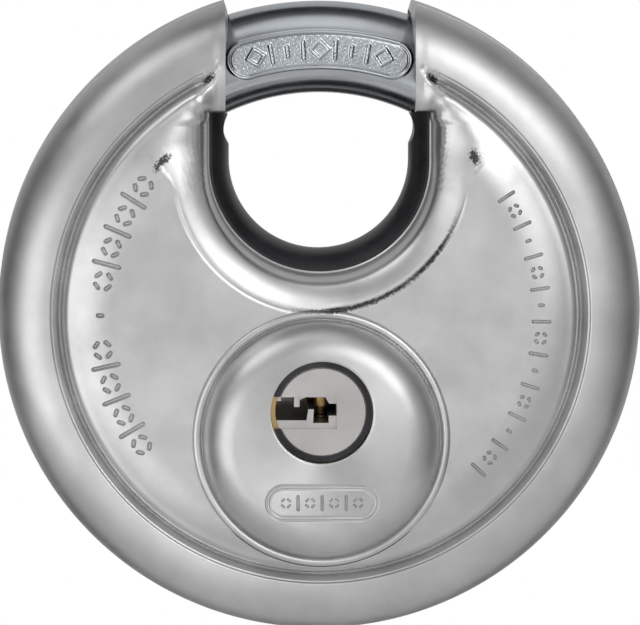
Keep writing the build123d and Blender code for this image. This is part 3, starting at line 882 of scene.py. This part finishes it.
def blend(tree, fac, a, b, kind="FLOAT"):
    """Value or vector a where fac is 0, and b where it is 1."""
    node = tree.nodes.new("ShaderNodeMix")
    node.data_type = kind
    sockets = {socket.identifier: socket for socket in list(node.inputs) + list(node.outputs)}
    ending = kind.title()
    tree.links.new(fac, sockets["Factor_Float"])
    connect(tree, a, sockets["A_" + ending])
    connect(tree, b, sockets["B_" + ending])
    return sockets["Result_" + ending]


def math_node(tree, operation, a, b):
    node = tree.nodes.new("ShaderNodeMath")
    node.operation = operation
    connect(tree, a, node.inputs[0])
    connect(tree, b, node.inputs[1])
    return node.outputs["Value"]


def shade_patch(tree, vector, centre, angle, half_length, half_width):
    """Broken patch of painted shade, for the shadow of a dent or tool mark in the steel: 1 in its middle, 0
    outside.
    """
    turned = tree.nodes.new("ShaderNodeMapping")
    turned.vector_type = "TEXTURE"
    turned.inputs["Location"].default_value = (centre[0] / 1000, 0, (centre[1] + DISC_UP) / 1000)
    turned.inputs["Rotation"].default_value = (0, -math.radians(angle), 0)
    turned.inputs["Scale"].default_value = (half_length / 1000, 1.0, half_width / 1000)
    tree.links.new(vector, turned.inputs["Vector"])
    away, _ = plan_radius(tree, turned.outputs["Vector"])
    speckle = noise(tree, vector, 3600.0, 3.0, 0.7)
    fading = spread(tree, away, 0.0, 1.4, 1.1, -0.8)
    level = math_node(tree, "ADD", fading, spread(tree, speckle, 0.3, 0.7, -0.5, 0.5))
    return spread(tree, level, 0.25, 0.6, 0, 1)


def fold_shade(tree, vector):
    """Broken line of painted shade along the lip's fold crease, below and to the right of the throat."""
    away, flat = plan_radius(tree, subtract_point(tree, vector, (0, 0, (DISC_UP + THROAT_UP) / 1000)))
    off_line = math_node(tree, "ABSOLUTE", math_node(tree, "SUBTRACT", away, FOLD_R / 1000), 0.0)
    aim = tree.nodes.new("ShaderNodeVectorMath")
    aim.operation = "DOT_PRODUCT"
    aim.inputs[1].default_value = (math.sin(FOLD_CLOCK), 0, math.cos(FOLD_CLOCK))
    tree.links.new(flat, aim.inputs[0])
    cosine = math_node(tree, "DIVIDE", aim.outputs["Value"], away)
    along = spread(tree, cosine, 0.72, 0.90, 0, 1)
    across = spread(tree, off_line, 0.0, 0.00075, 1.0, -0.8)
    speckle = noise(tree, vector, 2600.0, 3.0, 0.7)
    level = math_node(tree, "ADD", across, spread(tree, speckle, 0.3, 0.7, -0.5, 0.35))
    return math_node(tree, "MULTIPLY", along, spread(tree, level, 0.2, 0.7, 0, 1))


def case_steel():
    """Satin stainless: plain on the face, and ground round the rim and the boss, which draws lights out."""
    material, tree, shader = node_material("case_stainless")
    plain = coordinates(tree, (1, 1, 1))
    rim_r, rim_vector = plan_radius(tree, subtract_point(tree, plain, (0, 0, DISC_UP / 1000)))
    boss_r, boss_vector = plan_radius(tree, subtract_point(tree, plain, (0, 0, (DISC_UP + BOSS_UP) / 1000)))
    on_rim = spread(tree, rim_r, 0.0285, 0.0297, 0, 1)
    on_boss = spread(tree, boss_r, 0.0142, 0.0136, 0, 1)
    tangent = blend(tree, on_boss, rim_vector, boss_vector, "VECTOR")
    tree.links.new(tangent, shader.inputs["Tangent"])
    ground = math_node(tree, "MAXIMUM", on_rim, spread(tree, boss_r, 0.0142, 0.0094, 0, 1))
    tree.links.new(spread(tree, ground, 0, 1, 0.0, 0.75), shader.inputs["Anisotropic"])
    cloud = noise(tree, plain, 90.0, 5.0)
    # Painted shade: the fold's line and the patches darken the base colour to as little as 0.12 of its value
    shade_zone = fold_shade(tree, plain)
    for centre, angle, half_length, half_width in SHADE_PATCHES:
        patch = shade_patch(tree, plain, centre, angle, half_length, half_width)
        shade_zone = math_node(tree, "MAXIMUM", shade_zone, patch)
    shade_darkening = tree.nodes.new("ShaderNodeHueSaturation")
    tree.links.new(ramp(tree, cloud, 0.35, 0.65, CASE_DARK, CASE_LIGHT), shade_darkening.inputs["Color"])
    tree.links.new(spread(tree, shade_zone, 0, 1, 1.0, 0.12), shade_darkening.inputs["Value"])
    tree.links.new(shade_darkening.outputs["Color"], shader.inputs["Base Color"])
    polish = noise(tree, plain, 240.0, 6.0, 0.65)
    satin = spread(tree, polish, 0.3, 0.7, 0.30, 0.40)
    rougher = spread(tree, polish, 0.3, 0.7, 0.34, 0.42)
    tree.links.new(blend(tree, ground, satin, rougher), shader.inputs["Roughness"])
    fine = noise(tree, plain, 1500.0, 6.0, 0.7)
    normal = bump(tree, fine, 0.16, 0.00004)
    slow = noise(tree, plain, 70.0, 1.0, 0.4)
    normal = bump(tree, slow, 0.16, 0.0004, normal)
    tree.links.new(normal, shader.inputs["Normal"])
    shader.inputs["Metallic"].default_value = 1.0
    return material


def black_plastic():
    material, tree, shader = node_material("liner_black_plastic")
    plain = coordinates(tree, (1, 1, 1))
    mottled = noise(tree, plain, 300.0, 4.0)
    tone = ramp(tree, mottled, 0.3, 0.7, (0.012, 0.012, 0.014), (0.022, 0.022, 0.025))
    tree.links.new(tone, shader.inputs["Base Color"])
    tree.links.new(spread(tree, mottled, 0.3, 0.7, 0.26, 0.38), shader.inputs["Roughness"])
    fine = noise(tree, plain, 1800.0, 3.0)
    tree.links.new(bump(tree, fine, 0.12, 0.00003), shader.inputs["Normal"])
    return material


def make_materials():
    """A material for each slot; a metal has a dark and a light tone and a range of roughness."""
    return {
        "case_steel": case_steel(),
        "shackle_plate": metal(
            "shackle_nickel_chrome", (0.53, 0.56, 0.585), (0.62, 0.65, 0.68), (0.14, 0.24), grain_scale=1800.0
        ),
        "liner_black": black_plastic(),
        "plug_nickel": metal(
            "plug_satin_nickel", (0.52, 0.50, 0.49), (0.62, 0.60, 0.59), (0.30, 0.42), (1, 1, 8), 700.0, 0.2
        ),
        "brass": metal(
            "turned_brass", (0.50, 0.33, 0.14), (0.64, 0.45, 0.21), (0.24, 0.38), (1, 6, 1), 700.0, 0.15
        ),
        # Near-black guard ring: painted shade for the shadowed gap between the key hole and the plug
        "guard_dark": metal("guard_painted_shade", (0.035, 0.035, 0.04), (0.075, 0.075, 0.08), (0.38, 0.55)),
        "zinc": metal(
            "cast_zinc", (0.42, 0.43, 0.45), (0.54, 0.55, 0.57), (0.42, 0.58), (1, 1, 1), 600.0, 0.5
        ),
        "hard_steel": metal(
            "ground_steel", (0.36, 0.36, 0.38), (0.48, 0.48, 0.50), (0.28, 0.42), (1, 10, 1), 600.0, 0.2
        ),
        "spring_steel": metal("drawn_wire", (0.46, 0.44, 0.41), (0.58, 0.56, 0.53), (0.25, 0.36)),
    }


# ---------------------------------------------------------------- studio


def studio_direction(off_axis, clock):
    """Direction this far off the front axis, at this clock angle seen from the front."""
    rho, kappa = math.radians(off_axis), math.radians(clock)
    return (math.sin(rho) * math.sin(kappa), -math.cos(rho), math.sin(rho) * math.cos(kappa))


def studio_lobe(tree, direction, low, high, amount):
    """Smooth patch of light around a direction, between the two cosines."""
    source = tree.nodes.new("ShaderNodeTexCoord")
    dot = tree.nodes.new("ShaderNodeVectorMath")
    dot.operation = "DOT_PRODUCT"
    dot.inputs[1].default_value = direction
    tree.links.new(source.outputs["Generated"], dot.inputs[0])
    soft = tree.nodes.new("ShaderNodeMapRange")
    soft.interpolation_type = "SMOOTHSTEP"
    soft.inputs["From Min"].default_value = low
    soft.inputs["From Max"].default_value = high
    soft.inputs["To Max"].default_value = amount
    tree.links.new(dot.outputs["Value"], soft.inputs["Value"])
    return soft.outputs["Result"]


def studio():
    """World of soft patches of light, listed in TENT; the camera itself sees plain white behind the lock."""
    bpy.context.scene.view_settings.view_transform = "Standard"
    world = bpy.data.worlds.new("studio")
    bpy.context.scene.world = world
    world.use_nodes = True
    tree = world.node_tree
    lobes = [studio_lobe(tree, studio_direction(off_axis, clock), *shape) for off_axis, clock, *shape in TENT]
    total = lobes[0]
    for lobe in lobes[1:]:
        total = math_node(tree, "ADD", total, lobe)
    background = tree.nodes["Background"]
    background.inputs["Color"].default_value = (0.985, 0.99, 0.99, 1)
    tree.links.new(math_node(tree, "ADD", total, TENT_DIM), background.inputs["Strength"])
    white = tree.nodes.new("ShaderNodeBackground")
    white.inputs["Color"].default_value = (1, 1, 1, 1)
    path = tree.nodes.new("ShaderNodeLightPath")
    mix = tree.nodes.new("ShaderNodeMixShader")
    tree.links.new(path.outputs["Is Camera Ray"], mix.inputs["Fac"])
    tree.links.new(background.outputs["Background"], mix.inputs[1])
    tree.links.new(white.outputs["Background"], mix.inputs[2])
    tree.links.new(mix.outputs["Shader"], tree.nodes["World Output"].inputs["Surface"])


def back_light():
    """Soft box behind the lock, for the views of its back."""
    data = bpy.data.lights.new("back_box", "AREA")
    data.shape = "RECTANGLE"
    data.size, data.size_y = 1.9, 1.6
    data.energy = 4.5
    light = bpy.data.objects.new("back_box", data)
    bpy.context.collection.objects.link(light)
    light.location = (0.1, 0.9, 0.2)
    aim = Vector((0, 0, DISC_UP / 1000)) - light.location
    light.rotation_euler = aim.to_track_quat("-Z", "Y").to_euler()
    light.visible_camera = False


def floor():
    """Pale floor below the lock, which hangs from its bar; light is painted on it as a glow, strongest at its
    front edge, for the studio light's falloff and to wash out the lock's shadow on it.
    """
    material, tree, shader = node_material("pale_floor")
    plain = coordinates(tree, (1, 1, 1))
    speckle = noise(tree, plain, 40.0, 3.0)
    tone = ramp(tree, speckle, 0.3, 0.7, (0.86, 0.86, 0.86), (0.88, 0.88, 0.88))
    tree.links.new(tone, shader.inputs["Base Color"])
    shader.inputs["Roughness"].default_value = 0.9
    shader.inputs["Emission Color"].default_value = (1, 1, 1, 1)
    split = tree.nodes.new("ShaderNodeSeparateXYZ")
    tree.links.new(plain, split.inputs["Vector"])
    # Painted light: emission that fades from the floor's front edge to its back
    painted_glow = spread(tree, split.outputs["Y"], -0.5, 0.5, FLOOR_PAINTED_LIGHT, 0.0)
    tree.links.new(painted_glow, shader.inputs["Emission Strength"])
    bpy.ops.mesh.primitive_plane_add(size=1, location=(0, FLOOR_Y, FLOOR_Z))
    plane = bpy.context.object
    plane.name = "floor"
    plane.scale = (*FLOOR_SIZE, 1)
    plane.data.materials.append(material)


def camera():
    """Long lens, a little above the disc axis and to its left."""
    data = bpy.data.cameras.new("camera")
    obj = bpy.data.objects.new("camera", data)
    bpy.context.collection.objects.link(obj)
    bpy.context.scene.camera = obj
    data.sensor_width = SENSOR_WIDTH
    data.lens = SENSOR_WIDTH * CAMERA_AWAY / VIEW_WIDTH
    data.clip_end = 20.0
    azimuth, elevation = math.radians(VIEW_AZIMUTH), math.radians(VIEW_ELEVATION)
    level = math.cos(elevation)
    away = Vector((math.sin(azimuth) * level, -math.cos(azimuth) * level, math.sin(elevation)))
    right = Vector((math.cos(azimuth), math.sin(azimuth), 0))
    up = away.cross(right)
    target = Vector((0, 0, DISC_UP / 1000)) + right * VIEW_RIGHT - up * VIEW_DOWN
    obj.location = target + away * CAMERA_AWAY
    obj.rotation_euler = (-away).to_track_quat("-Z", "Y").to_euler()


def main():
    materials = make_materials()
    slots = {s["node"]: s["material_slot"] for s in frame["record"]["subparts"]}
    for name, node in frame["nodes"].items():
        node.data.materials.clear()
        node.data.materials.append(materials[slots[name]])

    front = shell("front_shell_skin", with_boss=True)
    rear = shell("rear_shell_skin", with_boss=False)
    bar = shackle_bar()
    for obj, body, replaced, slot_name in (
        (front, "case", "front_shell", "case_steel"),
        (rear, "case", "rear_shell", "case_steel"),
        (bar, "shackle", "shackle", "shackle_plate"),
    ):
        obj.data.materials.append(materials[slot_name])
        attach(obj, body)
        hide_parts(replaced)

    studio()
    back_light()
    floor()
    camera()


main()
